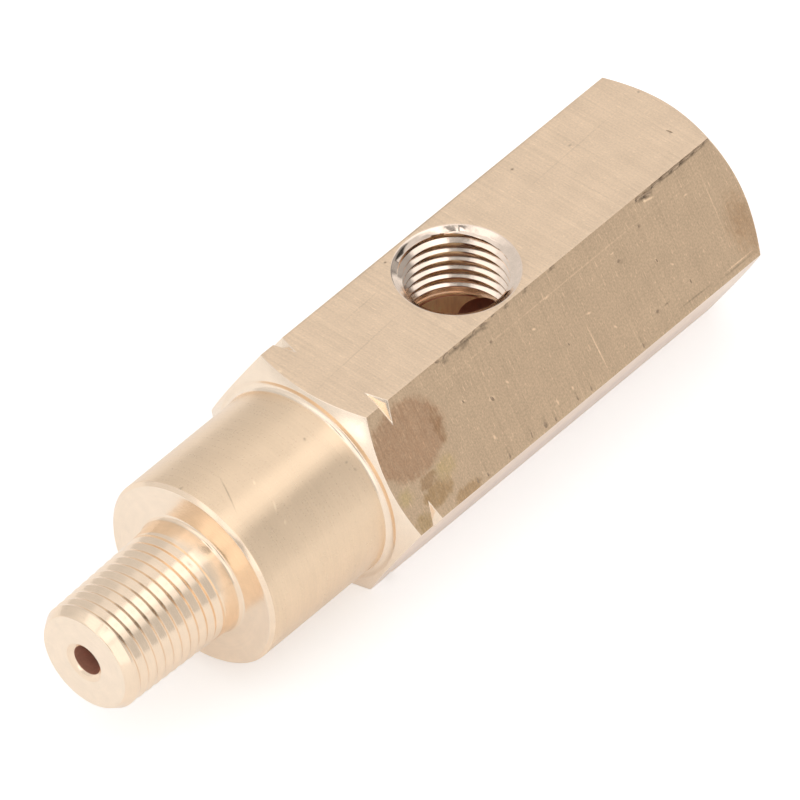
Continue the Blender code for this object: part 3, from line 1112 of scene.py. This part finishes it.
def lamp():
    """A soft box that shines on the fitting."""
    data = bpy.data.lights.new("key", "AREA")
    data.shape = "RECTANGLE"
    data.size = LAMP_SIZE[0]
    data.size_y = LAMP_SIZE[1]
    data.energy = LAMP_POWER
    holder = add_object("key", data)
    direction = Vector(LAMP_DIRECTION).normalized()
    holder.location = direction * LAMP_DISTANCE
    holder.rotation_euler = direction.to_track_quat("Z", "Y").to_euler()


FLOOR_HALF_SIZE = 2.0
# How far the floor lies below the fitting, so that the two never share a plane
FLOOR_DROP = 0.02 * MM
FLOOR_COLOUR = (0.8, 0.8, 0.8, 1.0)
FLOOR_ROUGHNESS = 0.9
# How much the floor glows for the camera, and in the fitting
FLOOR_GLOW = 0.42
MIRRORED_FLOOR_GLOW = 0.22


def floor():
    """The pale floor, which also glows a little by itself."""
    builder = bmesh.new()
    bmesh.ops.create_grid(builder, x_segments=1, y_segments=1, size=FLOOR_HALF_SIZE)
    mesh = mesh_from(builder, "floor")
    thing = add_object("floor", mesh)
    thing.location.z = -FLOOR_DROP
    material, tree, shader = new_material("floor", 0.0)
    shader.inputs["Base Color"].default_value = FLOOR_COLOUR
    shader.inputs["Roughness"].default_value = FLOOR_ROUGHNESS
    path = tree.nodes.new("ShaderNodeLightPath")
    mirrored = maths(tree, "MULTIPLY", path.outputs["Is Glossy Ray"], MIRRORED_FLOOR_GLOW)
    glow = maths(tree, "MULTIPLY_ADD", path.outputs["Is Camera Ray"], FLOOR_GLOW, mirrored)
    shader.inputs["Emission Color"].default_value = WHITE
    tree.links.new(glow, shader.inputs["Emission Strength"])
    mesh.materials.append(material)


# How bright the studio's walls are round the X axis, in degrees from straight up towards -Y:
# beyond the male end, beside the fitting and beyond the far end
WALL_LEVELS = (
    (-180, 0.95, 0.95, 0.95),
    (-134, 0.92, 0.92, 0.90),
    (-98, 0.80, 0.75, 0.70),
    (-60, 0.84, 0.72, 0.76),
    (-34, 0.95, 0.74, 0.86),
    (-29, 1.26, 0.92, 1.00),
    (-2, 1.28, 0.95, 0.98),
    (0, 0.70, 0.65, 0.70),
    (3, 1.25, 1.25, 1.15),
    (30, 1.32, 1.34, 1.10),
    (36, 1.28, 1.30, 0.95),
    (38, 0.75, 0.95, 0.70),
    (41, 1.26, 1.10, 0.74),
    (47, 1.27, 1.05, 0.74),
    (52, 1.28, 0.66, 0.74),
    (60, 1.28, 0.64, 0.74),
    (84, 1.28, 0.70, 0.85),
    (91, 1.00, 0.60, 0.75),
    (94, 0.70, 0.55, 0.65),
    (97, 1.00, 0.92, 0.95),
    (180, 0.95, 0.95, 0.95),
)
# How far along X a direction points where one column of the table passes into the next
MALE_SIDE = (-0.34, -0.22)
FAR_SIDE = (0.16, 0.32)
# Patches of the walls as azimuth, elevation, half width and half height in degrees and how much
# brighter they are: the gap above the camera, a dark panel and a lamp beyond the male end, and
# a dark wall beyond the far end
WALL_PATCHES = (
    (221.8, 66.4, 11.6, 6.4, -1.22),
    (193.0, 15.0, 15.0, 9.5, -0.75),
    (178.0, 2.5, 8.0, 5.5, 0.8),
    (350.0, 30.0, 26.0, 14.0, -0.7),
)
# Half the width of a patch's soft rim, as a share of the patch's half width or half height
PATCH_SOFTNESS = 0.08


def between(tree, share, first, second):
    """A number between two, by a share from 0 to 1."""
    return maths(tree, "MULTIPLY_ADD", share, maths(tree, "SUBTRACT", second, first), first)


def wall_level(tree, direction):
    """The level of the walls in a direction, mixed from the three columns of the table."""
    x, y, z = apart(tree, direction)
    angle = maths(tree, "ARCTAN2", maths(tree, "MULTIPLY", y, -1.0), z)
    share = maths(tree, "MULTIPLY_ADD", angle, 1.0 / math.tau, 0.5)
    table = add_node(tree, "ShaderNodeValToRGB", {"Fac": share})
    stops = table.color_ramp.elements
    for index, (degrees, male, beside, far) in enumerate(WALL_LEVELS):
        place = degrees / 360.0 + 0.5
        stop = stops[index] if index < 2 else stops.new(place)
        stop.position = place
        stop.color = (male, beside, far, 1.0)
    levels = add_node(tree, "ShaderNodeSeparateColor", {"Color": table.outputs["Color"]})
    male, beside, far = (levels.outputs[name] for name in ("Red", "Green", "Blue"))
    level = between(tree, ramp(tree, x, *MALE_SIDE), male, beside)
    return between(tree, ramp(tree, x, *FAR_SIDE), level, far)


def wall_patch(tree, direction, azimuth, elevation, half_width, half_height, amount):
    """How much a patch with straight sides adds to the level in a direction."""
    azimuth = math.radians(azimuth)
    elevation = math.radians(elevation)
    side = Vector((-math.sin(azimuth), math.cos(azimuth), 0.0))
    level = Vector((math.cos(azimuth), math.sin(azimuth), 0.0))
    out = level * math.cos(elevation) + Vector((0.0, 0.0, math.sin(elevation)))
    reach = []
    for way, half in ((side, half_width), (out.cross(side), half_height)):
        off = vector_maths(tree, "DOT_PRODUCT", direction, tuple(way))
        share = maths(tree, "DIVIDE", off, math.sin(math.radians(half)))
        reach.append(maths(tree, "ABSOLUTE", share))
    furthest = maths(tree, "MAXIMUM", *reach)
    patch_share = ramp(tree, furthest, 1.0 - PATCH_SOFTNESS, 1.0 + PATCH_SOFTNESS, amount, 0.0)
    ahead = vector_maths(tree, "DOT_PRODUCT", direction, tuple(out))
    return maths(tree, "MULTIPLY", patch_share, maths(tree, "GREATER_THAN", ahead, 0.0))


def world():
    """Pale studio walls in long panels, with three darker places and a brighter one."""
    made = bpy.data.worlds.new("studio")
    bpy.context.scene.world = made
    made.use_nodes = True
    tree = made.node_tree
    direction = tree.nodes.new("ShaderNodeTexCoord").outputs["Generated"]
    level = wall_level(tree, direction)
    for where in WALL_PATCHES:
        level = maths(tree, "ADD", level, wall_patch(tree, direction, *where))
    background = tree.nodes["Background"]
    background.inputs["Color"].default_value = WHITE
    tree.links.new(level, background.inputs["Strength"])


def fitting():
    """The fitting: its outside, then the knocks, the bore and the ports cut out of it."""
    body = add_object("tee_fitting", outside_skin())
    flats = [drawn_brass(side, *FLAT_LOOKS_WITH_PAINTED_SHADE[side]) for side in range(SIDES)]
    give_materials(body.data, [threaded_brass(), faced_brass(), turned_brass()] + flats)
    drilled(body, knock_mesh(KNOCKS[::2]))
    drilled(body, knock_mesh(KNOCKS[1::2]))
    drilled(body, axial_hollow())
    drilled(body, side_hollow())
    clean_up(body.data)
    body.data.transform(Matrix.Translation(ORIGIN_SHIFT))
    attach(body, "root")
    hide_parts("tee_body")


bpy.context.scene.view_settings.view_transform = "Standard"
camera()
world()
floor()
lamp()
fitting()
